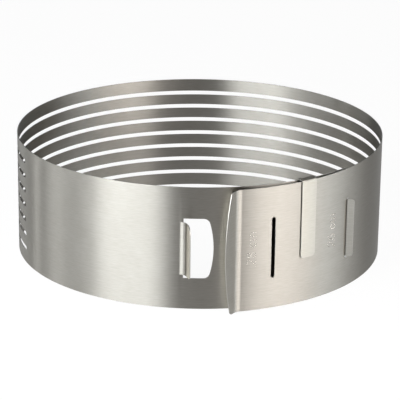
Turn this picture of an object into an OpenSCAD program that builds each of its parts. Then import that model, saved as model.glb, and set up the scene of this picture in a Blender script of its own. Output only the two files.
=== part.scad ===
// Adjustable cake leveler: one strip of spring steel, closed to a ring by overlapping its ends, with
// level slots for a long knife round its back. A latch tab on the inner end stands in one of two slots
// of the outer end, and a slip-on clip holds the two ends together. Millimetres, +Z up. The origin is
// on the ring's axis at the height of its lower edge, and the front is towards -Y. Angles are seen
// from above: 0 at the front, then to the right (+X). The rest position is the small size.
//
// The strip bends as a whole when the ring is set to its large size. Here it is a chain of stretches,
// and each bends only at the line where it meets the next one.

/* [Band] */
// Outside diameter of the ring at its small size
ring_d = 260; // [236:1:300]
// Height of the band
band_h = 85.6; // [76:0.1:110]
// Thickness of the strip
sheet_t = 0.6; // [0.4:0.05:0.8]
// Difference between the ring's two diameters
size_step = 21; // [12:0.5:26]

/* [Knife slots] */
// Number of knife slots, one above the other
slot_count = 7; // [3:1:8]
// Height of one knife slot
slot_h = 3; // [1.5:0.1:5]
// Angle from the front to the slots' left ends
slots_left = 68.5; // [55:0.5:80]
// Angle from the front to the slots' right ends
slots_right = 90; // [84:0.5:100]

/* [Inner end] */
// Angle from the front to the bending line between the window and the inner end
inner_end_from = 11; // [9:0.5:14]

/* [Finger window and tab] */
// Width of the window at its middle
window_w = 20; // [14:0.5:24]
// Height of the window
window_h = 42; // [30:0.5:60]
// How far the window's right edge bows out
window_bow = 3.4; // [1:0.1:5]
// Radius of the window's right corners
window_corner = 4.5; // [1:0.1:6]
// Height of the finger tab
tab_h = 37; // [20:0.5:40]
// Length of the tab's flat part
tab_len = 7.5; // [6:0.5:12]
// Radius of the tab's bend, on its hollow side
tab_bend_r = 5.5; // [1.5:0.1:7]
// Angle that the tab is bent out of the band
tab_turn = 66; // [40:1:80]
// How far left of the window the tab's bend starts
tab_inset = 2.7; // [1:0.1:6]
// Radius of the tab's upper corner
tab_corner_top = 5.5; // [1:0.1:5.5]
// Radius of the tab's lower corner
tab_corner_low = 2.5; // [1:0.1:5.5]

/* [Outer end] */
// How much larger the outer end's radius is than the ring's
plate_spread = 8.5; // [6:0.1:12]
// Angle of the pull flange's bend, on the outer end's own circle
flange_at = 15.5; // [14:0.5:20]
// Angle that the flange is bent out of the strip
flange_turn = 41.5; // [30:0.5:70]
// Radius of the flange's bend, on its hollow side
flange_bend_r = 8; // [3:0.1:10]
// Length of the flange's flat part at its middle
flange_reach = 10.9; // [8.5:0.1:16]
// How far the flange's free edge bows out
flange_bow = 6.6; // [2:0.1:7]
// Radius of the flange's corners
flange_corner = 3; // [1:0.1:5]

/* [Latch] */
// Distance from the flange's bend to the first latch slot's middle, along the strip
latch_slot_from_bend = 22.5; // [18:0.1:40]
// Width of a latch slot
latch_slot_w = 2.7; // [2:0.1:4]
// Height of a latch slot
latch_slot_h = 43; // [30:0.5:55]
// How far the latch tab stands out of the outer end
latch_reach = 4.1; // [2:0.1:9]
// Angle that the latch tab is bent out of the inner end
latch_turn = 64; // [38:1:90]
// Radius of the latch tab's bend, on its hollow side
latch_bend_r = 1; // [0.6:0.1:1.5]
// Radius of the latch tab's outer corners
latch_corner = 2; // [0.5:0.1:3]
// Length of the inner end that is pushed in to free the latch
latch_len = 26; // [15:0.5:27]
// Clearance between the latch tab and its slot's right edge
latch_side_gap = 0.3; // [0.1:0.05:0.5]
// Clearance between the latch tab and each end of its slot
latch_end_gap = 0.8; // [0.2:0.1:1]

/* [Clip] */
// Width of the clip
clip_w = 12; // [8:0.5:16]
// Length of the clip's legs below the rim
clip_len = 54; // [35:0.5:60]
// Thickness of the clip's strip
clip_t = 0.6; // [0.4:0.05:1]
// Radius of the clip's two upper bends, on their hollow side
clip_bend_r = 0.5; // [0.3:0.1:1]
// Radius of the corners at the legs' lower ends
clip_corner = 2.5; // [0.5:0.1:3.5]
// How far the clip stands to the right of the middle between the latch slots
clip_shift = -6; // [-10:0.5:6]
// Clearance between the clip's legs and the strip
clip_gap = 0.3; // [0.2:0.05:0.5]
// Clearance between the clip and the rim that it stands on
clip_rim_gap = 0.2; // [0.1:0.05:0.3]

/* [Hidden] */
$fn = 96;
corner_steps = 6;
bow_steps = 16;
fold_steps = 10;
cut = 1;

ring_r = ring_d / 2;
slot_pitch = band_h / (slot_count + 1);
mid_z = band_h / 2;

// Stretches between the bending lines, as angles on the ring
rails_span = (360 - slots_left - slots_right) / 3;
back_from = slots_right + rails_span;
back_to = back_from + rails_span;
front_from = 360 - slots_left;
front_to = 360 + inner_end_from;
tab_from = 360 - turn_for(window_w / 2 + tab_inset, ring_r);

// The outer end lies on a larger circle that touches the ring where the knife slots end
plate_r = ring_r + plate_spread;
plate_centre = -plate_spread * toward(slots_right);
latch_slot_1 = flange_at + turn_for(latch_slot_from_bend, plate_r);
latch_slot_2 = latch_slot_1 + turn_for(PI * size_step, plate_r);
clip_at = (latch_slot_1 + latch_slot_2) / 2 + turn_for(clip_shift, plate_r);

// The latch tab leans to the right and passes its slot near the right edge. latch_point is where its
// outer face passes the outer end's, and the inner end stops where a tab bent at latch_turn meets that.
latch_offset = latch_slot_w / 2 - latch_side_gap - sheet_t / sin(latch_turn);
latch_point = plate_centre + plate_r * toward(latch_slot_2 + turn_for(latch_offset, plate_r));
latch_angle = 360 + atan2(latch_point.x, -latch_point.y);
latch_bend_out = latch_bend_r * (1 - cos(latch_turn));
latch_lag = acos((ring_r * cos(latch_turn) - latch_bend_out) / norm(latch_point)) - latch_turn;
leaf_to = latch_angle - latch_lag;
leaf_from = leaf_to - turn_for(latch_len, ring_r);
latch_tab_h = latch_slot_h - 2 * latch_end_gap;
latch_tab_len =
    (norm(latch_point) * cos(latch_lag) - ring_r - latch_bend_out + latch_reach) / sin(latch_turn);

// The clip's inner leg passes behind the inner end where that is furthest in
clip_half = turn_for(clip_w / 2, plate_r);
clip_inner_r = plate_radius_of(clip_at - clip_half, ring_r - sheet_t) - clip_gap;
clip_outer_r = plate_r + clip_gap;
clip_under = band_h + clip_rim_gap;
clip_top = clip_under + clip_t;

// Direction of an angle, seen from above
function toward(a) = [sin(a), -cos(a)];

// Angle that a length of strip takes up on a circle
function turn_for(length, radius) = length / radius * 180 / PI;

// Distance from the outer end's centre, at its angle a, to the circle of the given radius round the origin
function plate_radius_of(a, radius) =
    plate_spread * cos(slots_right - a)
    + sqrt(radius ^ 2 - (plate_spread * sin(slots_right - a)) ^ 2);

// Points of an arc, which may leave out some at each end
function arc(centre, radius, from, to, steps, skip = 0) =
    [for (i = [skip : steps - skip]) let (a = from + (to - from) * i / steps)
        centre + radius * [cos(a), sin(a)]];

// Outline with a straight left side at x = root and a right side that bows out to x = reach, with its
// height centred on 0 and round right corners
function bowed(root, reach, bow, height, low_corner, top_corner) =
    let (
        r = (height ^ 2 / 4 + bow ^ 2) / (2 * bow),
        hub = [reach - r, 0],
        low_z = height / 2 - low_corner,
        top_z = height / 2 - top_corner,
        low_a = asin(low_z / (r - low_corner)),
        top_a = asin(top_z / (r - top_corner)),
        low_hub = hub + (r - low_corner) * [cos(low_a), -sin(low_a)],
        top_hub = hub + (r - top_corner) * [cos(top_a), sin(top_a)]
    )
    concat([[root, height / 2], [root, -height / 2]],
        arc(low_hub, low_corner, -90, -low_a, corner_steps),
        arc(hub, r, -low_a, top_a, bow_steps, 1),
        arc(top_hub, top_corner, top_a, 90, corner_steps));

// Outline with a straight left side at x = 0 and round right corners, its height centred on 0
function round_ended(length, height, low_corner, top_corner) =
    concat([[0, height / 2], [0, -height / 2]],
        arc([length - low_corner, low_corner - height / 2], low_corner, -90, 0, corner_steps),
        arc([length - top_corner, height / 2 - top_corner], top_corner, 0, 90, corner_steps));

// Stretch of strip on a circle round the origin, with its outer face at the given radius
module stretch(radius, from, to, low, high, thick = sheet_t)
    rotate(from - 90)
        rotate_extrude(angle = to - from)
            translate([radius - thick, low])
                square([thick, high - low]);

// Moves children to an angle on a circle: +X runs along the strip to the right and +Y points outwards
module at_angle(radius, a)
    rotate(a)
        mirror([0, 1, 0])
            translate([0, radius, 0])
                children();

// The bars between the knife slots, from one bending line to the next
module rails(from, to)
    for (i = [0 : slot_count])
        stretch(ring_r, from, to,
            i * slot_pitch + (i > 0 ? slot_h / 2 : 0),
            (i + 1) * slot_pitch - (i < slot_count ? slot_h / 2 : 0));

// Section of a strip whose outer face is at y = 0, which bends away from the ring and goes on straight
function fold_section(bend_r, turn, length) =
    let (
        hub = [0, bend_r],
        root = hub + bend_r * [sin(turn), -cos(turn)],
        end = root + length * [cos(turn), sin(turn)]
    )
    concat(arc(hub, bend_r, -90, turn - 90, fold_steps),
        [end, end + sheet_t * [sin(turn), -cos(turn)]],
        arc(hub, bend_r + sheet_t, turn - 90, -90, fold_steps));

// A flap that bends away from the ring at the end of a strip. Its flat part is cut to the child's outline.
module fold(bend_r, turn, length, height)
    difference() {
        linear_extrude(height, center = true)
            polygon(fold_section(bend_r, turn, length));
        translate([0, bend_r, 0])
            rotate(turn)
                translate([0, cut - bend_r, 0])
                    rotate([90, 0, 0])
                        linear_extrude(sheet_t + 2 * cut)
                            difference() {
                                translate([0, -height / 2 - cut])
                                    square([length + cut, height + 2 * cut]);
                                children();
                            }
    }

// A slot with round ends through the outer end
module latch_slot(a)
    at_angle(plate_r, a)
        translate([0, cut, 0])
            rotate([90, 0, 0])
                linear_extrude(sheet_t + 2 * cut)
                    for (end = [-1, 1]) {
                        translate([0, end * (latch_slot_h - latch_slot_w) / 2])
                            circle(d = latch_slot_w);
                        square([latch_slot_w, latch_slot_h - latch_slot_w], center = true);
                    }

module back_rails()
    color("darkgray")
        rails(back_from, back_to);

module right_rails()
    color("silver")
        rails(slots_right, back_from);

module left_rails()
    color("silver")
        rails(back_to, front_from);

// The tab is bent out of the window, so the opening also takes in the place of its bend
module front_plate()
    color("gainsboro")
        difference() {
            stretch(ring_r, front_from, front_to, 0, band_h);
            translate([0, 0, mid_z])
                rotate([90, 0, 0])
                    linear_extrude(ring_r + cut)
                        polygon(bowed(-window_w / 2, window_w / 2, window_bow, window_h,
                            window_corner, window_corner));
            stretch(ring_r + cut, tab_from, 360, mid_z - tab_h / 2, mid_z + tab_h / 2, sheet_t + 2 * cut);
        }

module finger_tab()
    color("silver")
        translate([0, 0, mid_z])
            at_angle(ring_r, tab_from)
                fold(tab_bend_r, tab_turn, tab_len, tab_h)
                    polygon(round_ended(tab_len, tab_h, tab_corner_low, tab_corner_top));

module tongue()
    color("darkgray")
        stretch(ring_r, front_to, leaf_from, 0, band_h);

module latch_leaf()
    color("silver")
        stretch(ring_r, leaf_from, leaf_to, 0, band_h);

module latch_tab()
    color("whitesmoke")
        translate([0, 0, mid_z])
            at_angle(ring_r, leaf_to)
                fold(latch_bend_r, latch_turn, latch_tab_len, latch_tab_h)
                    polygon(round_ended(latch_tab_len, latch_tab_h, latch_corner, latch_corner));

module outer_plate()
    color("antiquewhite")
        translate(plate_centre)
            difference() {
                stretch(plate_r, flange_at, slots_right, 0, band_h);
                for (a = [latch_slot_1, latch_slot_2])
                    translate([0, 0, mid_z])
                        latch_slot(a);
            }

module pull_flange()
    color("linen")
        translate([plate_centre.x, plate_centre.y, mid_z])
            at_angle(plate_r, flange_at)
                mirror([1, 0, 0])
                    fold(flange_bend_r, flange_turn, flange_reach, band_h)
                        polygon(bowed(0, flange_reach, flange_bow, band_h, flange_corner, flange_corner));

// A quarter of a ring round one of the clip's upper bends, on the side that the angle points to
module clip_corner_section(hub, a)
    translate(hub)
        rotate(a)
            intersection() {
                difference() {
                    circle(clip_bend_r + clip_t);
                    circle(clip_bend_r);
                }
                square(clip_bend_r + clip_t);
            }

// The clip cut through across the rim: two legs joined over it
module clip_section() {
    leg_h = clip_under - clip_bend_r - band_h + clip_len;
    for (r = [clip_outer_r, clip_inner_r - clip_t])
        translate([r, band_h - clip_len])
            square([clip_t, leg_h]);
    translate([clip_inner_r + clip_bend_r, clip_under])
        square([clip_outer_r - clip_inner_r - 2 * clip_bend_r, clip_t]);
    clip_corner_section([clip_outer_r - clip_bend_r, clip_under - clip_bend_r], 0);
    clip_corner_section([clip_inner_r + clip_bend_r, clip_under - clip_bend_r], 90);
}

module clip()
    color("whitesmoke")
        translate(plate_centre)
            intersection() {
                rotate(clip_at - 2 * clip_half - 90)
                    rotate_extrude(angle = 4 * clip_half)
                        clip_section();
                at_angle(clip_inner_r - clip_t - cut, clip_at)
                    translate([0, 0, clip_top])
                        rotate([-90, 0, 0])
                            linear_extrude(clip_outer_r - clip_inner_r + 2 * (clip_t + cut))
                                rotate(90)
                                    polygon(round_ended(clip_top - band_h + clip_len, clip_w,
                                        clip_corner, clip_corner));
            }

back_rails();
right_rails();
left_rails();
front_plate();
finger_tab();
tongue();
latch_leaf();
latch_tab();
outer_plate();
pull_flange();
clip();
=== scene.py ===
from math import acos, asin, atan2, ceil, cos, pi, radians, sin, sqrt

import bpy
from mathutils import Matrix, Vector
from mathutils.geometry import delaunay_2d_cdt


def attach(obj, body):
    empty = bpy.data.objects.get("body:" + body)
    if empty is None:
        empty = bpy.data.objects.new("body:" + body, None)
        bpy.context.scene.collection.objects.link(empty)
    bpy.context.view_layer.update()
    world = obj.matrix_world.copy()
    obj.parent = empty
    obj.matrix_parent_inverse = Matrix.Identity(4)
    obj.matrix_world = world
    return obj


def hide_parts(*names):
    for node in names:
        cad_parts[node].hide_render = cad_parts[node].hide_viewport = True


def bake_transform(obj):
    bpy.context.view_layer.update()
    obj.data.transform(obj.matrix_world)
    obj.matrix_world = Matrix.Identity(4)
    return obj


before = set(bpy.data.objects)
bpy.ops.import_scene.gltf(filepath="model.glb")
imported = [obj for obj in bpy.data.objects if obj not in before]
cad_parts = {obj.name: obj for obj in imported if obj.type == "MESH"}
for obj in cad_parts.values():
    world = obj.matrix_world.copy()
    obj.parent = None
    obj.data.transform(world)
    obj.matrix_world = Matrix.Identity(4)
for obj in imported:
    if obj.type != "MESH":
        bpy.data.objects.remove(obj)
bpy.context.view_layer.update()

# Slotted back of the band. One strip of stainless spring steel, 0.6 mm thick, with seven round-ended
# knife slots punched through it, brushed along its length and closed to a ring. It is made here as
# four stretches.
RING_R = 0.130
BAND_H = 0.0856
SHEET_T = 0.0006
EASED_EDGE = 0.0001
OUTER_END_SHIFT = 0.0085
SLOT_COUNT = 7
SLOT_H = 0.003
COLUMN_STEP = radians(0.6)
SLOT_END_COLUMNS = 8
SAME_PLACE = 1e-6
EASED_POINTS = 3
SHARP_CORNER, LONGEST_MITRE = 0.2, 2
UP = Vector((0, 0, 1))
# Angles are taken from the front, round by the right
SLOTS_FROM = radians(90)
SLOTS_TO = radians(291.5)
OUTER_END_SEAM = radians(75)
RIGHT_SEAM = radians(123.583)
BACK_SEAM = radians(190.75)
LEFT_SEAM = radians(257.917)
FRONT_SEAM = radians(331)


def linear(code):
    """The linear colour of an sRGB hex value"""
    parts = [int(code[i : i + 2], 16) / 255 for i in (0, 2, 4)]
    return [c / 12.92 if c <= 0.04045 else ((c + 0.055) / 1.055) ** 2.4 for c in parts] + [1]


def cleared(holder):
    """The node tree of a material or a world, with nothing in it"""
    holder.use_nodes = True
    holder.node_tree.nodes.clear()
    return holder.node_tree


def add(tree, kind, inputs=(), **settings):
    """Adds a node, sets it and fills its inputs with values or with what other nodes give"""
    node = tree.nodes.new(kind)
    for name, value in settings.items():
        setattr(node, name, value)
    for key, value in inputs.items() if isinstance(inputs, dict) else enumerate(inputs):
        if isinstance(value, bpy.types.Node):
            value = value.outputs[0]
        if isinstance(value, bpy.types.NodeSocket):
            tree.links.new(value, node.inputs[key])
        else:
            node.inputs[key].default_value = value
    return node


# Length and width of the lines and dashes that the belt leaves, and of the clouds in its sheen
LINE_LONG, LINE_WIDE = 0.060, 0.00035
DASH_LONG, DASH_WIDE = 0.006, 0.0005
CLOUD_LONG, CLOUD_WIDE = 0.018, 0.024
GROOVE_DEPTH, GROOVE_SHARE = 0.00002, 0.04
# Grooves shade each other in a glancing view, which darkens brushed steel
EDGE_TINT = (0.6, 0.6, 0.6, 1)
# Length of the spots on a sheared edge, and how far the roughness strays on faces and on edges
BURR_LEN = 0.002
FACE_STRAY, EDGE_STRAY = 0.02, 0.1


def brushed_steel(name, colour, streak_colour, roughness):
    """Stainless spring steel, belt-brushed along the strip: a soft sheen drawn out across the grain.
    The real lines are under 0.1 mm apart. They are drawn 0.35 mm wide, which is as fine as shows."""
    material = bpy.data.materials.new(name)
    tree = cleared(material)
    flat = add(tree, "ShaderNodeUVMap", uv_map="grain")
    fine = add(tree, "ShaderNodeMapping", {
        "Vector": flat, "Scale": (1 / LINE_LONG, 1 / LINE_WIDE, 1)})
    streaks = add(tree, "ShaderNodeTexNoise", {
        "Vector": fine, "Scale": 1.0, "Detail": 2.0, "Roughness": 0.6})
    short = add(tree, "ShaderNodeMapping", {
        "Vector": flat, "Scale": (1 / DASH_LONG, 1 / DASH_WIDE, 1)})
    dashes = add(tree, "ShaderNodeTexNoise", {"Vector": short, "Scale": 1.0, "Detail": 1.0})
    broad = add(tree, "ShaderNodeMapping", {
        "Vector": flat, "Scale": (1 / CLOUD_LONG, 1 / CLOUD_WIDE, 1)})
    clouds = add(tree, "ShaderNodeTexNoise", {"Vector": broad, "Scale": 1.0, "Detail": 3.0})
    both = add(tree, "ShaderNodeMath", [streaks, dashes], operation="ADD")
    all_three = add(tree, "ShaderNodeMath", [both, clouds], operation="ADD")
    # The three patterns add up to about 1.5. Inputs 6 and 7 are the two colours that are mixed.
    share = add(tree, "ShaderNodeMapRange", {"Value": all_three, "From Min": 1.2, "From Max": 1.8})
    tone = add(tree, "ShaderNodeMix", {
        0: share, 6: linear(streak_colour), 7: linear(colour)}, data_type="RGBA")
    rough = add(tree, "ShaderNodeMapRange", {
        "Value": clouds, "From Min": 0.3, "From Max": 0.7,
        "To Min": roughness - FACE_STRAY, "To Max": roughness + FACE_STRAY})
    grooves = add(tree, "ShaderNodeBump", {
        "Strength": GROOVE_SHARE, "Distance": GROOVE_DEPTH, "Height": both})
    along = add(tree, "ShaderNodeTangent", direction_type="UV_MAP", uv_map="grain")
    steel = add(tree, "ShaderNodeBsdfPrincipled", {
        "Base Color": tone.outputs[2], "Metallic": 1.0, "Roughness": rough,
        "Specular Tint": EDGE_TINT, "Anisotropic": 1.0, "Anisotropic Rotation": 0.25,
        "Normal": grooves, "Tangent": along})
    add(tree, "ShaderNodeOutputMaterial", [steel])
    return material


def cut_edge(name, colour, roughness=0.35):
    """Sheared edge of the sheet, deburred: finer than the brushed faces, and a little lighter"""
    material = bpy.data.materials.new(name)
    tree = cleared(material)
    place = add(tree, "ShaderNodeTexCoord")
    burr = add(tree, "ShaderNodeTexNoise", {
        "Vector": place.outputs["Object"], "Scale": 1 / BURR_LEN, "Detail": 2.0})
    rough = add(tree, "ShaderNodeMapRange", {
        "Value": burr, "To Min": roughness - EDGE_STRAY, "To Max": roughness + EDGE_STRAY})
    steel = add(tree, "ShaderNodeBsdfPrincipled", {
        "Base Color": linear(colour), "Metallic": 1.0, "Roughness": rough})
    add(tree, "ShaderNodeOutputMaterial", [steel])
    return material


spring_steel = brushed_steel("brushed stainless spring steel", "96938d", "8c8983", 0.42)
sheared_steel = cut_edge("sheared edge of stainless sheet", "a09e99")


def toward(a):
    """Direction of an angle seen from above, from the front and then to the right"""
    return Vector((sin(a), -cos(a), 0))


def steel_sheet(name, surface, seams=(), finishes=None, thick=SHEET_T):
    """Gives a surface its thickness behind it, with eased edges but for its seams. A point of the
    surface is its place, the directions outwards and along the grain, and its place on the flat
    strip. The finishes are those of its faces and of its edges."""
    points, faces = surface
    borders = {(i, j) for face in faces for i, j in zip(face, face[1:] + face[:1])}
    borders = {(i, j) for i, j in borders if (j, i) not in borders}
    joined = {
        (i, j) for i, j in borders
        if any(abs(points[i][3][0] - s) + abs(points[j][3][0] - s) < SAME_PLACE for s in seams)
    }
    off = {}
    for i, j in borders - joined:
        out = (points[j][0] - points[i][0]).cross(points[i][1] + points[j][1]).normalized()
        for k in (i, j):
            off.setdefault(k, []).append(out)
    places, normals, grain, rims = [], [], [], []
    for i, (place, out, along, flat) in enumerate(points):
        away, shift = along, Vector()
        if i in off:
            total = sum(off[i], Vector())
            if total.length > SHARP_CORNER:
                away = total.normalized()
                shift = away * EASED_EDGE / max(away.dot(off[i][0]), 1 / LONGEST_MITRE)
        straight = thick - 2 * EASED_EDGE
        rim = []
        for k in range(2 * EASED_POINTS) if i in off else (0, 2 * EASED_POINTS - 1):
            behind = int(k >= EASED_POINTS)
            turn = (k - behind) * pi / 2 / (EASED_POINTS - 1)
            sunk = EASED_EDGE * (1 - cos(turn)) + behind * straight
            run = EASED_EDGE * turn + behind * straight
            rim.append(len(places))
            places.append(place + shift * (sin(turn) - 1) - out * sunk)
            normals.append(out * cos(turn) + (away * sin(turn) if i in off else Vector()))
            grain.append((
                flat[0] + away.dot(along) * run, flat[1] + away.dot(out.cross(along)) * run))
        rims.append(rim)
    skins = [[rims[i][0] for i in face] for face in faces]
    skins += [[rims[i][-1] for i in reversed(face)] for face in faces]
    sides = [
        [rims[j][k], rims[i][k], rims[i][k + 1], rims[j][k + 1]]
        for i, j in borders - joined for k in range(2 * EASED_POINTS - 1)
    ]
    caps = [rims[j][:1] + rims[i] + rims[j][:0:-1] for i, j in joined]
    mesh = bpy.data.meshes.new(name)
    mesh.from_pydata(places, [], skins + sides + caps)
    for finish in finishes or (spring_steel, sheared_steel):
        mesh.materials.append(finish)
    layer = mesh.uv_layers.new(name="grain")
    inner = {rim[-1]: points[i][3] for i, rim in enumerate(rims)}
    corner_normals = []
    for face in mesh.polygons:
        is_skin = face.index < len(skins)
        is_seam = face.index >= len(skins) + len(sides)
        face.material_index = 0 if is_skin else 1
        face.use_smooth = True
        for corner in face.loop_indices:
            v = mesh.loops[corner].vertex_index
            layer.data[corner].uv = inner[v] if is_skin and v in inner else grain[v]
            corner_normals.append(face.normal.copy() if is_seam else normals[v])
    mesh.normals_split_custom_set(corner_normals)
    mesh.update()
    piece = bpy.data.objects.new(name, mesh)
    bpy.context.scene.collection.objects.link(piece)
    return piece


# Grids of columns by angle and of rows by slot edge, with the slots taken out and their ends
# rounded, bent to the ring. Each point keeps its place on the flat strip and its angle.
band_tree = bpy.data.node_groups.new("slotted band", "GeometryNodeTree")
band_sizes = {
    "Ring radius": RING_R, "Outer end shift": OUTER_END_SHIFT, "Band height": BAND_H,
    "Slot height": SLOT_H, "Slots from": SLOTS_FROM, "Slots to": SLOTS_TO,
    "Column step": COLUMN_STEP, "Start": 0.0, "End": 1.0,
}
for label in band_sizes:
    band_tree.interface.new_socket(label, in_out="INPUT", socket_type="NodeSocketFloat")
band_tree.interface.new_socket("Slot count", in_out="INPUT", socket_type="NodeSocketInt")
band_tree.interface.new_socket("Band", in_out="OUTPUT", socket_type="NodeSocketGeometry")
given = add(band_tree, "NodeGroupInput").outputs
half_slot = add(band_tree, "ShaderNodeMath", [given["Slot height"], 2.0], operation="DIVIDE")
end_turn = add(band_tree, "ShaderNodeMath", [half_slot, given["Ring radius"]], operation="DIVIDE")
pitch = add(band_tree, "ShaderNodeMath", [given["Slot count"], 1.0], operation="ADD")
pitch = add(band_tree, "ShaderNodeMath", [given["Band height"], pitch], operation="DIVIDE")
last_row = add(band_tree, "ShaderNodeMath", [
    given["Slot count"], 2.0, 1.0], operation="MULTIPLY_ADD")
row_count = add(band_tree, "ShaderNodeMath", [last_row, 1.0], operation="ADD")
first_round = add(band_tree, "ShaderNodeMath", [given["Slots from"], end_turn], operation="ADD")
last_round = add(band_tree, "ShaderNodeMath", [given["Slots to"], end_turn], operation="SUBTRACT")
limits = [given["Start"]] + [
    add(band_tree, "ShaderNodeClamp", [angle, given["Start"], given["End"]])
    for angle in (given["Slots from"], first_round, last_round, given["Slots to"])
] + [given["End"]]
position = add(band_tree, "GeometryNodeInputPosition")
cell = add(band_tree, "ShaderNodeSeparateXYZ", [position])
share = add(band_tree, "ShaderNodeMath", [cell.outputs[0], 0.5], operation="ADD")
quarter = add(band_tree, "ShaderNodeMath", [share, pi / 2], operation="MULTIPLY")
rise = add(band_tree, "ShaderNodeMath", [quarter], operation="COSINE")
rise = add(band_tree, "ShaderNodeMath", [1.0, rise], operation="SUBTRACT")
settle = add(band_tree, "ShaderNodeMath", [quarter], operation="SINE")
row = add(band_tree, "ShaderNodeMath", [cell.outputs[1], 0.5], operation="ADD")
row = add(band_tree, "ShaderNodeMath", [row, last_row], operation="MULTIPLY")
row = add(band_tree, "ShaderNodeMath", [row], operation="ROUND")
stretches = add(band_tree, "GeometryNodeJoinGeometry")
for part, spread in enumerate((share, rise, share, settle, share)):
    span = add(band_tree, "ShaderNodeMath", [limits[part + 1], limits[part]], operation="SUBTRACT")
    steps = add(band_tree, "ShaderNodeMath", [span, given["Column step"]], operation="DIVIDE")
    steps = add(band_tree, "ShaderNodeMath", [steps], operation="CEIL")
    columns = add(band_tree, "ShaderNodeMath", [steps, 1.0], operation="ADD")
    columns = add(band_tree, "ShaderNodeMath", [columns, 2.0], operation="MAXIMUM")
    grid = add(band_tree, "GeometryNodeMeshGrid", {
        "Vertices X": SLOT_END_COLUMNS + 1 if part % 2 else columns, "Vertices Y": row_count})
    angle = add(band_tree, "ShaderNodeMath", [spread, span, limits[part]], operation="MULTIPLY_ADD")
    flat = add(band_tree, "ShaderNodeCombineXYZ", [angle, row])
    laid = add(band_tree, "GeometryNodeSetPosition", {"Geometry": grid, "Position": flat})
    band_tree.links.new(laid.outputs[0], stretches.inputs[0])
between = add(band_tree, "ShaderNodeMath", [cell.outputs[1]], operation="FLOOR")
between = add(band_tree, "ShaderNodeMath", [between, 2.0], operation="FLOORED_MODULO")
open_rows = add(band_tree, "FunctionNodeCompare", {0: between, 1: 0.5}, operation="GREATER_THAN")
bars = add(band_tree, "GeometryNodeDeleteGeometry", {
    "Geometry": stretches, "Selection": open_rows}, domain="FACE")
angle = cell.outputs[0]
past_first = add(band_tree, "ShaderNodeMath", [angle, given["Slots from"]], operation="SUBTRACT")
before_last = add(band_tree, "ShaderNodeMath", [given["Slots to"], angle], operation="SUBTRACT")
from_end = add(band_tree, "ShaderNodeMath", [past_first, before_last], operation="MINIMUM")
from_end = add(band_tree, "ShaderNodeMath", [from_end, given["Ring radius"]], operation="MULTIPLY")
from_end = add(band_tree, "ShaderNodeClamp", [from_end, 0.0, half_slot])
from_round = add(band_tree, "ShaderNodeMath", [half_slot, from_end], operation="SUBTRACT")
squared = add(band_tree, "ShaderNodeMath", [from_round, from_round], operation="MULTIPLY")
opening = add(band_tree, "ShaderNodeMath", [half_slot, half_slot], operation="MULTIPLY")
opening = add(band_tree, "ShaderNodeMath", [opening, squared], operation="SUBTRACT")
opening = add(band_tree, "ShaderNodeMath", [opening, 0.0], operation="MAXIMUM")
opening = add(band_tree, "ShaderNodeMath", [opening], operation="SQRT")
row = cell.outputs[1]
odd = add(band_tree, "ShaderNodeMath", [row, 2.0], operation="FLOORED_MODULO")
sign = add(band_tree, "ShaderNodeMath", [odd, -2.0, 1.0], operation="MULTIPLY_ADD")
after_first = add(band_tree, "ShaderNodeMath", [row, 0.5], operation="GREATER_THAN")
under_last = add(band_tree, "ShaderNodeMath", [last_row, 0.5], operation="SUBTRACT")
under_last = add(band_tree, "ShaderNodeMath", [row, under_last], operation="LESS_THAN")
inside = add(band_tree, "ShaderNodeMath", [after_first, under_last], operation="MULTIPLY")
lift = add(band_tree, "ShaderNodeMath", [opening, sign], operation="MULTIPLY")
lift = add(band_tree, "ShaderNodeMath", [lift, inside], operation="MULTIPLY")
slot_line = add(band_tree, "ShaderNodeMath", [row, 1.0], operation="ADD")
slot_line = add(band_tree, "ShaderNodeMath", [slot_line, 2.0], operation="DIVIDE")
slot_line = add(band_tree, "ShaderNodeMath", [slot_line], operation="FLOOR")
height = add(band_tree, "ShaderNodeMath", [slot_line, pitch, lift], operation="MULTIPLY_ADD")
on_end = add(band_tree, "ShaderNodeMath", [angle, given["Slots from"]], operation="LESS_THAN")
shift = add(band_tree, "ShaderNodeMath", [on_end, given["Outer end shift"]], operation="MULTIPLY")
radius = add(band_tree, "ShaderNodeMath", [given["Ring radius"], shift], operation="ADD")
across = add(band_tree, "ShaderNodeMath", [angle], operation="SINE")
across = add(band_tree, "ShaderNodeMath", [across, radius], operation="MULTIPLY")
across = add(band_tree, "ShaderNodeMath", [across, shift], operation="SUBTRACT")
depth = add(band_tree, "ShaderNodeMath", [angle], operation="COSINE")
depth = add(band_tree, "ShaderNodeMath", [depth, radius], operation="MULTIPLY")
depth = add(band_tree, "ShaderNodeMath", [depth, -1.0], operation="MULTIPLY")
length = add(band_tree, "ShaderNodeMath", [angle, given["Ring radius"]], operation="MULTIPLY")
length = add(band_tree, "ShaderNodeMath", [past_first, shift, length], operation="MULTIPLY_ADD")
flat = add(band_tree, "ShaderNodeCombineXYZ", [length, height, angle])
marked = add(band_tree, "GeometryNodeStoreNamedAttribute", {
    "Geometry": bars, "Name": "flat", "Value": flat}, data_type="FLOAT_VECTOR", domain="POINT")
bent = add(band_tree, "ShaderNodeCombineXYZ", [across, depth, height])
bent = add(band_tree, "GeometryNodeSetPosition", {"Geometry": marked, "Position": bent})
whole = add(band_tree, "GeometryNodeMergeByDistance", {"Geometry": bent, "Distance": SAME_PLACE})
whole = add(band_tree, "GeometryNodeRealizeInstances", [whole])
whole = add(band_tree, "GeometryNodeSetMaterial", {"Geometry": whole, "Material": spring_steel})
add(band_tree, "NodeGroupOutput", [whole])


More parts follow.
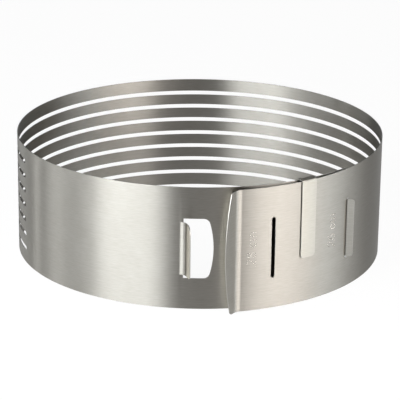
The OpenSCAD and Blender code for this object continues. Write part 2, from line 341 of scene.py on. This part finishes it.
def slotted_surface(start, end):
    """The band between two angles, as a surface"""
    holder = bpy.data.objects.new("band", bpy.data.meshes.new("band"))
    bpy.context.scene.collection.objects.link(holder)
    modifier = holder.modifiers.new("band", "NODES")
    modifier.node_group = band_tree
    wanted = {**band_sizes, "Slot count": SLOT_COUNT, "Start": start, "End": end}
    for item in band_tree.interface.items_tree:
        if item.name in wanted:
            modifier[item.identifier] = wanted[item.name]
    shown = holder.evaluated_get(bpy.context.evaluated_depsgraph_get())
    made = bpy.data.meshes.new_from_object(shown)
    flat = [tuple(item.vector) for item in made.attributes["flat"].data]
    points = [
        (v.co.copy(), toward(a), UP.cross(toward(a)), (u, z))
        for v, (u, z, a) in zip(made.vertices, flat)
    ]
    faces = [list(face.vertices) for face in made.polygons]
    bpy.data.objects.remove(holder)
    bpy.data.meshes.remove(made)
    return points, faces


def strip_length(a):
    """Distance along the strip from the front to an angle, round by the right"""
    return RING_R * a + OUTER_END_SHIFT * min(a - SLOTS_FROM, 0)


for name, start, end, bodies, nodes in (
    ("band_right", OUTER_END_SEAM, RIGHT_SEAM, ("outer_end", "right"), ("right_rails",)),
    ("band_back_right", RIGHT_SEAM, BACK_SEAM, ("right", "back"), ("back_rails",)),
    ("band_back_left", BACK_SEAM, LEFT_SEAM, ("back", "left"), ("back_rails",)),
    ("band_left", LEFT_SEAM, FRONT_SEAM, ("left", "front"), ("left_rails",)),
):
    piece = steel_sheet(name, slotted_surface(start, end), (strip_length(start), strip_length(end)))
    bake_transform(piece)
    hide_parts(*nodes)

# Front plate with the finger window. The window is punched out of the strip as a D with a straight
# left side, and the finger tab is the flap left standing there, bent outwards round a small radius.
FRONT = 2 * pi
INNER_END_SEAM = radians(384)
WINDOW_W, WINDOW_H, WINDOW_BOW, WINDOW_CORNER = 0.020, 0.042, 0.0034, 0.0045
TAB_H, TAB_LEN, TAB_BEND_R, TAB_TURN = 0.037, 0.0075, 0.0055, radians(66)
TAB_INSET = 0.0027
TAB_TOP_CORNER, TAB_LOW_CORNER = 0.0055, 0.0025
BEND_COLUMN = radians(5)
FLAT_COLUMN = 0.0015
CORNER_STEPS, BOW_STEPS = 8, 24
CUT_MARGIN, CUT_TOLERANCE = 0.001, 1e-8


def arc(centre, radius, start, end, steps):
    """Points of an arc, in the flat"""
    turns = [start + (end - start) * i / steps for i in range(steps + 1)]
    return [(centre[0] + radius * cos(a), centre[1] + radius * sin(a)) for a in turns]


def bowed(root, reach, bow, height, low_corner, top_corner):
    """Outline with a straight left side and a right side that bows out, centred on z = 0"""
    r = (height**2 / 4 + bow**2) / (2 * bow)
    turns, hubs = [], []
    for corner, side in ((low_corner, -1), (top_corner, 1)):
        run = height / 2 - corner
        hubs.append((reach - r + sqrt((r - corner) ** 2 - run**2), side * run))
        turns.append(side * pi / 2 - side * (pi / 2 - asin(run / (r - corner))))
    return (
        [(root, height / 2), (root, -height / 2)]
        + arc(hubs[0], low_corner, -pi / 2, turns[0], CORNER_STEPS)
        + arc((reach - r, 0), r, turns[0], turns[1], BOW_STEPS)[1:-1]
        + arc(hubs[1], top_corner, turns[1], pi / 2, CORNER_STEPS)
    )


def round_ended(length, height, low_corner, top_corner):
    """Outline with a straight left side at 0 and round right corners, centred on z = 0"""
    low_hub = (length - low_corner, low_corner - height / 2)
    top_hub = (length - top_corner, height / 2 - top_corner)
    return (
        [(0, height / 2), (0, -height / 2)]
        + arc(low_hub, low_corner, -pi / 2, 0, CORNER_STEPS)
        + arc(top_hub, top_corner, 0, pi / 2, CORNER_STEPS)
    )


def lines_between(start, end, step):
    """Places from one to another, no further apart than the step"""
    count = max(ceil(abs(end - start) / step), 1)
    return [start + (end - start) * i / count for i in range(count + 1)]


def is_within(point, loop):
    """Whether a point of the flat lies within a loop"""
    crossings = 0
    for (x0, y0), (x1, y1) in zip(loop, loop[1:] + loop[:1]):
        if (y0 > point[1]) != (y1 > point[1]):
            crossings += point[0] < x0 + (x1 - x0) * (point[1] - y0) / (y1 - y0)
    return crossings % 2 == 1


def blank(outline, openings=(), columns=(), rows=()):
    """Flat blank with its openings, divided along lines at which it can be bent"""
    left, right = (f(p[0] for p in outline) for f in (min, max))
    low, high = (f(p[1] for p in outline) for f in (min, max))
    points, edges = [], []
    for loop in (outline, *openings):
        edges += [(len(points) + i, len(points) + (i + 1) % len(loop)) for i in range(len(loop))]
        points += loop
    for x in columns:
        edges.append((len(points), len(points) + 1))
        points += [(x, low - CUT_MARGIN), (x, high + CUT_MARGIN)]
    for y in rows:
        edges.append((len(points), len(points) + 1))
        points += [(left - CUT_MARGIN, y), (right + CUT_MARGIN, y)]
    made = delaunay_2d_cdt([Vector(p) for p in points], edges, [], 0, CUT_TOLERANCE)
    flat, faces = made[0], []
    for face in made[2]:
        middle = sum((flat[i] for i in face), Vector((0, 0))) / len(face)
        if is_within(middle, outline) and not any(is_within(middle, loop) for loop in openings):
            faces.append(list(face))
    used = sorted({i for face in faces for i in face})
    order = {i: k for k, i in enumerate(used)}
    return [tuple(flat[i]) for i in used], [[order[i] for i in face] for face in faces]


def formed(cut, place):
    """A blank bent to its shape, as a surface. place takes a point of the flat to its new place."""
    flat, faces = cut
    return [(*place(u, z), (u, z)) for u, z in flat], faces


def welded(*surfaces):
    """Surfaces that meet, as one"""
    points, faces, seen = [], [], {}
    for some_points, some_faces in surfaces:
        order = []
        for point in some_points:
            key = tuple(round(c / SAME_PLACE) for c in point[0])
            if key not in seen:
                seen[key] = len(points)
                points.append(point)
            order.append(seen[key])
        faces += [[order[i] for i in face] for face in some_faces]
    return points, faces


def on_ring(u, z):
    """Place on the strip where it is the ring"""
    out = toward(u / RING_R)
    return RING_R * out + z * UP, out, UP.cross(out)


# Painted highlight: one side of the flaps is painted a pale steel, the flat of the finger tab and
# the underside of the flange, whose painted pale image shows in the front plate.
painted_highlight_steel = brushed_steel("stainless sheet with painted highlight", "e6e2da", "dddad1", 0.34)


def paint_highlight(piece, facing, start, end, low, high):
    """Paints a highlight on a sheet: pale steel on the side that faces an angle, in one stretch of
    the flat strip
    """
    mesh = piece.data
    mesh.materials.append(painted_highlight_steel)
    flat = mesh.uv_layers["grain"].data
    for face in mesh.polygons:
        corners = [flat[corner].uv for corner in face.loop_indices]
        spot = sum(corners, Vector((0, 0))) / len(corners)
        faced = face.material_index == 0 and face.normal.dot(toward(facing)) > 0
        if faced and start < spot.x < end and low < spot.y < high:
            face.material_index = len(mesh.materials) - 1


def folded(strip, root, side, bend_r, turn):
    """Places on a flap that bends outwards off the strip at its root and goes on straight"""
    def place(u, z):
        start, out, along = strip(root, z)
        ahead, run = along * side, (u - root) * side
        a = min(run / bend_r, turn)
        face = out * cos(a) - ahead * sin(a)
        heading = ahead * cos(a) + out * sin(a)
        spot = start + (out - face) * bend_r + heading * (run - a * bend_r)
        return spot, face, heading * side
    return place


window_u = RING_R * FRONT
tab_root = window_u - WINDOW_W / 2 - TAB_INSET
middle_z = BAND_H / 2
front_from, front_to = RING_R * FRONT_SEAM, RING_R * INNER_END_SEAM
window = bowed(-WINDOW_W / 2, WINDOW_W / 2, WINDOW_BOW, WINDOW_H, WINDOW_CORNER, WINDOW_CORNER)
window = [(window_u + x, middle_z + z) for x, z in window]
notch = [
    (window[0][0], middle_z + TAB_H / 2), (tab_root, middle_z + TAB_H / 2),
    (tab_root, middle_z - TAB_H / 2), (window[0][0], middle_z - TAB_H / 2),
]
plate = blank(
    [(front_from, 0), (front_to, 0), (front_to, BAND_H), (front_from, BAND_H)],
    [window[:1] + notch + window[1:]], lines_between(front_from, front_to, FLAT_COLUMN)[1:-1])
bend_len = TAB_BEND_R * TAB_TURN
tab_outline = [
    (tab_root + x, middle_z + z)
    for x, z in round_ended(bend_len + TAB_LEN, TAB_H, TAB_LOW_CORNER, TAB_TOP_CORNER)
]
tab = blank(tab_outline, (), [
    tab_root + x for x in lines_between(0, bend_len, TAB_BEND_R * BEND_COLUMN)[1:]])
front = welded(
    formed(plate, on_ring),
    formed(tab, folded(on_ring, tab_root, 1, TAB_BEND_R, TAB_TURN)))
piece = steel_sheet("front_plate_and_tab", front, (front_from, front_to))
flat_from = tab_root + bend_len
# Painted highlight on the outer side of the finger tab's flat
paint_highlight(
    piece, FRONT - TAB_TURN, flat_from, flat_from + TAB_LEN,
    middle_z - TAB_H / 2, middle_z + TAB_H / 2)
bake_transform(piece)
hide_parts("front_plate", "finger_tab")

# Inner end of the strip, which runs on under the outer end. Its last stretch is pushed in by hand
# to free the latch tab, a flap bent outwards at its tip that stands in one of the two latch slots.
PLATE_R = RING_R + OUTER_END_SHIFT
LATCH_SLOT_W, LATCH_SLOT_H = 0.0027, 0.043
LATCH_REACH, LATCH_BEND_R, LATCH_CORNER = 0.0041, 0.001, 0.002
LATCH_TURN = radians(64)
LATCH_SIDE_GAP, LATCH_END_GAP = 0.0003, 0.0008
FLANGE_AT = radians(15.5)
BEND_TO_SLOT = 0.0225
SIZE_STEP = 0.021
slot_1 = FLANGE_AT + BEND_TO_SLOT / PLATE_R
slot_2 = slot_1 + pi * SIZE_STEP / PLATE_R
latch_offset = LATCH_SLOT_W / 2 - LATCH_SIDE_GAP - SHEET_T / sin(LATCH_TURN)
latch_point = PLATE_R * toward(slot_2 + latch_offset / PLATE_R) - Vector((OUTER_END_SHIFT, 0, 0))
latch_angle = FRONT + atan2(latch_point.x, -latch_point.y)
bend_out = LATCH_BEND_R * (1 - cos(LATCH_TURN))
latch_lag = acos((RING_R * cos(LATCH_TURN) - bend_out) / latch_point.length) - LATCH_TURN
leaf_to = RING_R * (latch_angle - latch_lag)
latch_h = LATCH_SLOT_H - 2 * LATCH_END_GAP
latch_rise = latch_point.length * cos(latch_lag) - RING_R - bend_out + LATCH_REACH
latch_len = latch_rise / sin(LATCH_TURN)
leaf_outline = [
    (front_to, 0), (leaf_to, 0), (leaf_to, middle_z - latch_h / 2),
    (leaf_to, middle_z + latch_h / 2), (leaf_to, BAND_H), (front_to, BAND_H),
]
leaf = blank(leaf_outline, (), lines_between(front_to, leaf_to, FLAT_COLUMN)[1:-1])
bend_len = LATCH_BEND_R * LATCH_TURN
latch_outline = [
    (leaf_to + x, middle_z + z)
    for x, z in round_ended(bend_len + latch_len, latch_h, LATCH_CORNER, LATCH_CORNER)
]
latch = blank(latch_outline, (), [
    leaf_to + x for x in lines_between(0, bend_len, LATCH_BEND_R * 2 * BEND_COLUMN)[1:]])
inner_end = welded(
    formed(leaf, on_ring),
    formed(latch, folded(on_ring, leaf_to, 1, LATCH_BEND_R, LATCH_TURN)))
piece = steel_sheet("inner_end_and_latch", inner_end, (front_to,))
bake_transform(piece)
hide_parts("tongue", "latch_leaf", "latch_tab")

# Outer end of the strip, which lies over the inner end. It has two latch slots with a raised size
# mark beside each, and its tip is bent outwards to a flange with a bowed edge, to pull on.
FLANGE_TURN, FLANGE_BEND_R = radians(41.5), 0.008
FLANGE_REACH, FLANGE_BOW, FLANGE_CORNER = 0.0109, 0.0066, 0.003
SLOT_END_STEPS = 12


def on_outer_end(u, z):
    """Place on the strip where it is the outer end, on its own larger circle"""
    out = toward(SLOTS_FROM + (u - RING_R * SLOTS_FROM) / PLATE_R)
    return PLATE_R * out - Vector((OUTER_END_SHIFT, 0, -z)), out, UP.cross(out)


def stadium(u, z, width, height):
    """Outline of an upright slot with round ends"""
    r, half = width / 2, (height - width) / 2
    top = arc((u, z + half), r, 0, pi, SLOT_END_STEPS)
    return top + arc((u, z - half), r, pi, 2 * pi, SLOT_END_STEPS)


plate_to, flange_root = strip_length(OUTER_END_SEAM), strip_length(FLANGE_AT)
bend_len = FLANGE_BEND_R * FLANGE_TURN
flap = bowed(0, FLANGE_REACH, FLANGE_BOW, BAND_H, FLANGE_CORNER, FLANGE_CORNER)[:1:-1]
flap = [(flange_root - bend_len - x, middle_z + z) for x, z in flap]
plate = blank(
    [(plate_to, 0), (plate_to, BAND_H)] + flap,
    [stadium(strip_length(a), middle_z, LATCH_SLOT_W, LATCH_SLOT_H) for a in (slot_1, slot_2)],
    lines_between(flange_root - bend_len, flange_root, FLANGE_BEND_R * BEND_COLUMN / 2)
    + lines_between(flange_root, plate_to, FLAT_COLUMN)[1:-1])
flange = folded(on_outer_end, flange_root, -1, FLANGE_BEND_R, FLANGE_TURN)
outer_end = formed(plate, lambda u, z: (on_outer_end if u > flange_root else flange)(u, z))
piece = steel_sheet("outer_end", outer_end, (plate_to,))
# Painted highlight on the underside of the flange, which the front plate mirrors
paint_highlight(
    piece, FLANGE_AT + FLANGE_TURN + pi, flange_root - bend_len - FLANGE_REACH, flange_root,
    0, BAND_H)
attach(piece, "outer_end")
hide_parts("outer_plate", "pull_flange")

# Size marks, pressed up out of the outer end as rows of dots that are stretched bright. They give
# the diameter of the ring when the latch stands in the slot beside them, and they read upwards.
MARK_H, DOT_R, DOT_H, DOT_STEP = 0.0062, 0.00042, 0.00034, 0.0012
DOT_SIDES = 10
# Rings of a dot, from its foot in the sheet up: their width and height as shares of the dot's
DOT_RINGS = ((1.0, -0.3), (1.0, 0.0), (0.75, 0.5), (0.4, 0.88))
# Each mark, its angle on the outer end, and the height at which it starts
MARKS = (("28 cm", radians(18.3), 0.032), ("26 cm", radians(45.1), 0.0333))
LOOP_STEPS, WIDE_LOOP_STEPS = 12, 14
# The strokes of each letter and the room it takes, as shares of the height of the marks
STROKES = {
    "2": [[
        (0.1, 0.78), (0.2, 0.94), (0.4, 1), (0.58, 0.92), (0.62, 0.74), (0.5, 0.52), (0, 0),
        (0.64, 0)]],
    "6": [
        arc((0.32, 0.3), 0.3, 0, 2 * pi, WIDE_LOOP_STEPS),
        [(0.04, 0.44), (0.12, 0.7), (0.28, 0.9), (0.52, 1)]],
    "8": [
        arc((0.32, 0.28), 0.28, 0, 2 * pi, LOOP_STEPS),
        arc((0.32, 0.78), 0.22, 0, 2 * pi, LOOP_STEPS)],
    "c": [arc((0.3, 0.32), 0.3, pi / 4, 7 * pi / 4, LOOP_STEPS)],
    "m": [
        [(0, 0), (0, 0.62)],
        [(0, 0.5), (0.14, 0.64), (0.32, 0.64), (0.42, 0.5), (0.42, 0)],
        [(0.42, 0.5), (0.56, 0.64), (0.74, 0.64), (0.84, 0.5), (0.84, 0)]],
    " ": [],
}
ADVANCE = {"2": 0.84, "6": 0.84, "8": 0.84, "c": 0.78, "m": 0.84, " ": 0.42}


def dots_along(line, step):
    """Points at about equal steps along a line"""
    spots = [Vector(line[0])]
    for start, end in zip(line, line[1:]):
        start, end = Vector(start), Vector(end)
        count = max(round((end - start).length / step), 1)
        spots += [start.lerp(end, (i + 1) / count) for i in range(count)]
    return spots


mark_dots = []
for text, angle, low in MARKS:
    at = low
    for letter in text:
        for line in STROKES[letter]:
            for spot in dots_along([(x * MARK_H, y * MARK_H) for x, y in line], DOT_STEP):
                dot = (strip_length(angle) + MARK_H / 2 - spot.y, at + spot.x)
                if all(abs(dot[0] - u) + abs(dot[1] - z) > 2 * DOT_R for u, z in mark_dots):
                    mark_dots.append(dot)
        at += ADVANCE[letter] * MARK_H
places, faces, grain = [], [], []
for u, z in mark_dots:
    first = len(places)
    spot, out, along = on_outer_end(u, z)
    for wide, high in DOT_RINGS:
        for i in range(DOT_SIDES):
            a = 2 * pi * i / DOT_SIDES
            over, up = cos(a) * DOT_R * wide, sin(a) * DOT_R * wide
            places.append(spot + (along * over + UP * up) + out * (DOT_H * high))
            grain.append((u + over, z + up))
    tip = len(places)
    places.append(spot + out * DOT_H)
    grain.append((u, z))
    for k in range(len(DOT_RINGS) - 1):
        for i in range(DOT_SIDES):
            j = (i + 1) % DOT_SIDES
            low, high = first + k * DOT_SIDES, first + (k + 1) * DOT_SIDES
            faces.append((low + i, low + j, high + j, high + i))
    last = tip - DOT_SIDES
    faces += [(last + i, last + (i + 1) % DOT_SIDES, tip) for i in range(DOT_SIDES)]
    faces.append([first + i for i in reversed(range(DOT_SIDES))])
mesh = bpy.data.meshes.new("size_marks")
mesh.from_pydata(places, [], faces)
mesh.materials.append(cut_edge("bright pressed dots", "b4b1ab", 0.18))
layer = mesh.uv_layers.new(name="grain")
for face in mesh.polygons:
    face.use_smooth = True
    for corner in face.loop_indices:
        layer.data[corner].uv = grain[mesh.loops[corner].vertex_index]
piece = bpy.data.objects.new("size_marks", mesh)
bpy.context.scene.collection.objects.link(piece)
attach(piece, "outer_end")

# Clip, a narrow strip of the same steel bent to a U. It is pushed down over the two overlapping rims
# and holds them together by the spring of its legs.
CLIP_W, CLIP_LEN, CLIP_T = 0.012, 0.054, 0.0006
CLIP_BEND_R, CLIP_CORNER, CLIP_SHIFT = 0.0005, 0.0025, -0.006
CLIP_GAP, CLIP_RIM_GAP = 0.0003, 0.0002
FOLD_STEPS = 6
# Painted highlight: the clip is painted a lighter steel than the band, for the light that it catches
clip_steel_painted_lighter = brushed_steel("brushed stainless clip painted lighter", "a3a19a", "9a9891", 0.42)
clip_at = (slot_1 + slot_2) / 2 + CLIP_SHIFT / PLATE_R
clip_half = CLIP_W / 2 / PLATE_R
lag = SLOTS_FROM - (clip_at - clip_half)
clip_inner_r = (
    OUTER_END_SHIFT * cos(lag)
    + sqrt((RING_R - SHEET_T) ** 2 - (OUTER_END_SHIFT * sin(lag)) ** 2) - CLIP_GAP)
clip_outer_r = PLATE_R + CLIP_GAP
fold_r = CLIP_BEND_R + CLIP_T
fold_z = BAND_H + CLIP_RIM_GAP - CLIP_BEND_R
leg = fold_z - (BAND_H - CLIP_LEN)
crown = clip_outer_r - clip_inner_r - 2 * CLIP_BEND_R
fold_run = fold_r * pi / 2
folds_from = (leg, leg + fold_run + crown)


def on_clip(w, s):
    """Place on the clip: w across it, s from the foot of its outer leg up, over the rims and down"""
    out = toward(clip_at + w / PLATE_R)
    first, second = folds_from
    a = sum(min(max(s - start, 0), fold_run) / fold_r for start in folds_from)
    face = out * cos(a) + UP * sin(a)
    if s < second:
        hub_r = clip_outer_r - CLIP_BEND_R - min(max(s - first - fold_run, 0), crown)
    else:
        hub_r = clip_inner_r + CLIP_BEND_R
    drop = max(first - s, 0) + max(s - second - fold_run, 0)
    spot = hub_r * out + (fold_z - drop) * UP + fold_r * face - Vector((OUTER_END_SHIFT, 0, 0))
    return spot, face, UP.cross(out)


clip_run = 2 * leg + 2 * fold_run + crown
corners = [(-1, 0, pi), (1, 0, 1.5 * pi), (1, 1, 0), (-1, 1, pi / 2)]
clip_outline = []
for side, end, turn in corners:
    hub = (side * (CLIP_W / 2 - CLIP_CORNER), CLIP_CORNER if not end else clip_run - CLIP_CORNER)
    clip_outline += arc(hub, CLIP_CORNER, turn, turn + pi / 2, CORNER_STEPS)
folds = []
for start in folds_from:
    folds += lines_between(start, start + fold_run, fold_run / FOLD_STEPS)
clip_cut = blank(
    clip_outline, (), lines_between(-CLIP_W / 2, CLIP_W / 2, FLAT_COLUMN)[1:-1], folds)
piece = steel_sheet("clip", formed(clip_cut, on_clip), (), (clip_steel_painted_lighter, sheared_steel), CLIP_T)
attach(piece, "clip")
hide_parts("clip")

# Floor, painted matt white. It reaches so far that no horizon shows. The camera and the steel see
# nineteen parts in twenty of it as plain white, and the rest takes the object's shadow.
FLOOR_HALF = 30
FLOOR_GLOW = 0.95
floor_mesh = bpy.data.meshes.new("floor")
floor_corners = [
    (x * FLOOR_HALF, y * FLOOR_HALF, 0) for x, y in ((-1, -1), (1, -1), (1, 1), (-1, 1))]
floor_mesh.from_pydata(floor_corners, [], [(0, 1, 2, 3)])
floor = bpy.data.objects.new("floor", floor_mesh)
bpy.context.scene.collection.objects.link(floor)
floor_paint = bpy.data.materials.new("matt white floor paint")
tree = cleared(floor_paint)
path = add(tree, "ShaderNodeLightPath").outputs
seen = add(tree, "ShaderNodeMath", [
    path["Is Camera Ray"], path["Is Glossy Ray"]], operation="MAXIMUM")
seen = add(tree, "ShaderNodeMath", [seen, path["Is Transmission Ray"]], operation="MAXIMUM")
seen = add(tree, "ShaderNodeMath", [seen, FLOOR_GLOW], operation="MULTIPLY")
paint = add(tree, "ShaderNodeBsdfDiffuse", {"Color": linear("f4f4f4")})
glow = add(tree, "ShaderNodeEmission", {"Color": linear("ffffff"), "Strength": 1.0})
both = add(tree, "ShaderNodeMixShader", [seen, paint, glow])
add(tree, "ShaderNodeOutputMaterial", [both])
floor_mesh.materials.append(floor_paint)

# Studio, a small dark room with a tall soft box to the left of the camera, a low and wide one to
# the right, and a narrow strip light far round to the left. It is a sphere that the camera looks
# through, out to a white world.
ROOM_R = 1.2
ROOM_SEGMENTS, ROOM_RINGS = 48, 24
LOW_BOX_TOP, HIGH_BOX_TOP = (0.20 * ROOM_R, 0.30 * ROOM_R), (0.66 * ROOM_R, 0.76 * ROOM_R)
BOX_LEVEL = 15.0
COOL_LIGHT, WARM_LIGHT = "f9fdff", "fffbf8"
WARM_TO = 70
# Levels of the walls, low down and higher up, by their bearing in degrees: 0 is at the camera, and
# the bearing grows to the right.
LOW_WALL = (
    (-180, 1.0), (-146, 0.8), (-134, 3.6), (-124, 2.2), (-116, 0.6), (-112, 13.0), (-108, 0.6),
    (-104, 1.6), (-98, 6.2), (-91, 8.0), (-84, 5.2), (-76, 0.8), (-64, 0.2), (-58, 6.4),
    (-40, 8.1), (-30, 8.1), (-24, 7.6), (-20, 5.8), (-14, 0.6), (11, 1.0), (14, 3.0), (21, 3.4),
    (30, 6.0), (40, 11.6), (52, 14.4), (64, 13.6), (80, 10.8), (94, 6.2), (101, 4.0), (110, 2.0),
    (119, 0.7), (180, 1.2),
)
HIGH_WALL = (
    (-180, 0.0), (-90, 0.0), (-84, 2.0), (-78, 5.4), (-69, 6.4), (-64, 7.0), (-59, 10.8),
    (-52, 11.2), (-40, 9.4), (-29, 10.6), (-23, 6.0), (-16, 0.2), (-14, 0.0), (29, 0.0),
    (38, 4.6), (52, 4.8), (64, 2.2), (76, 0.0), (180, 0.0),
)
bpy.ops.mesh.primitive_uv_sphere_add(
    segments=ROOM_SEGMENTS, ring_count=ROOM_RINGS, radius=ROOM_R)
room = bpy.context.object
room.name = "studio_room"
room_paint = bpy.data.materials.new("studio walls and light boxes")
tree = cleared(room_paint)
spot = add(tree, "ShaderNodeTexCoord")
spot = add(tree, "ShaderNodeSeparateXYZ", [spot.outputs["Object"]])
toward_eye = add(tree, "ShaderNodeMath", [spot.outputs[1], -1.0], operation="MULTIPLY")
bearing = add(tree, "ShaderNodeMath", [spot.outputs[0], toward_eye], operation="ARCTAN2")
bearing = add(tree, "ShaderNodeMapRange", {"Value": bearing, "From Min": -pi, "From Max": pi})
lights = []
for stops in (LOW_WALL, HIGH_WALL):
    wall = add(tree, "ShaderNodeValToRGB", [bearing])
    points = wall.color_ramp.elements
    while len(points) < len(stops):
        points.new(0.5)
    for point, (angle, level) in zip(points, stops):
        point.position = (angle + 180) / 360
        tint = linear(WARM_LIGHT if 0 < angle < WARM_TO else COOL_LIGHT)
        point.color = [level / BOX_LEVEL * c for c in tint[:3]] + [1]
    lights.append(add(tree, "ShaderNodeEmission", {"Color": wall, "Strength": BOX_LEVEL}))
lights.append(add(tree, "ShaderNodeEmission", {"Strength": 0.0}))
light = lights[0]
for (start, end), above in zip((LOW_BOX_TOP, HIGH_BOX_TOP), lights[1:]):
    rise = add(tree, "ShaderNodeMapRange", {
        "Value": spot.outputs[2], "From Min": start, "From Max": end})
    light = add(tree, "ShaderNodeMixShader", [rise, light, above])
add(tree, "ShaderNodeOutputMaterial", [light])
room.data.materials.append(room_paint)
room.visible_camera = False

world = bpy.data.worlds.new("studio")
bpy.context.scene.world = world
tree = cleared(world)
sky = add(tree, "ShaderNodeBackground", {"Color": linear("ffffff"), "Strength": 1.0})
add(tree, "ShaderNodeOutputWorld", [sky])

# Camera, with a long lens, 1.5 m from the middle of the ring and 20 degrees above it. It is turned
# about its view by 0.7 degrees, and its focal length is in pixels of a picture 400 pixels wide.
CAMERA_DISTANCE, CAMERA_ELEVATION, CAMERA_ROLL = 1.4901, 0.3552, 0.0125
CAMERA_AIM = Vector((0.00071, 0, 0.03177))
FOCAL_PX, IMAGE_PX, SENSOR_MM = 2047.1, 400, 36
eye = Vector((0, -cos(CAMERA_ELEVATION), sin(CAMERA_ELEVATION))) * CAMERA_DISTANCE
ahead = (CAMERA_AIM - eye).normalized()
right = ahead.cross(UP).normalized()
upward = right.cross(ahead)
turned_right = right * cos(CAMERA_ROLL) + upward * sin(CAMERA_ROLL)
turned_up = upward * cos(CAMERA_ROLL) - right * sin(CAMERA_ROLL)
lens = bpy.data.cameras.new("camera")
lens.lens = FOCAL_PX / IMAGE_PX * SENSOR_MM
lens.sensor_width = SENSOR_MM
lens.clip_start, lens.clip_end = 0.01, 100
camera = bpy.data.objects.new("camera", lens)
turned = Matrix((turned_right, turned_up, -ahead)).transposed().to_4x4()
camera.matrix_world = Matrix.Translation(eye) @ turned
bpy.context.scene.collection.objects.link(camera)
bpy.context.scene.camera = camera
bpy.context.scene.view_settings.view_transform = "Standard"
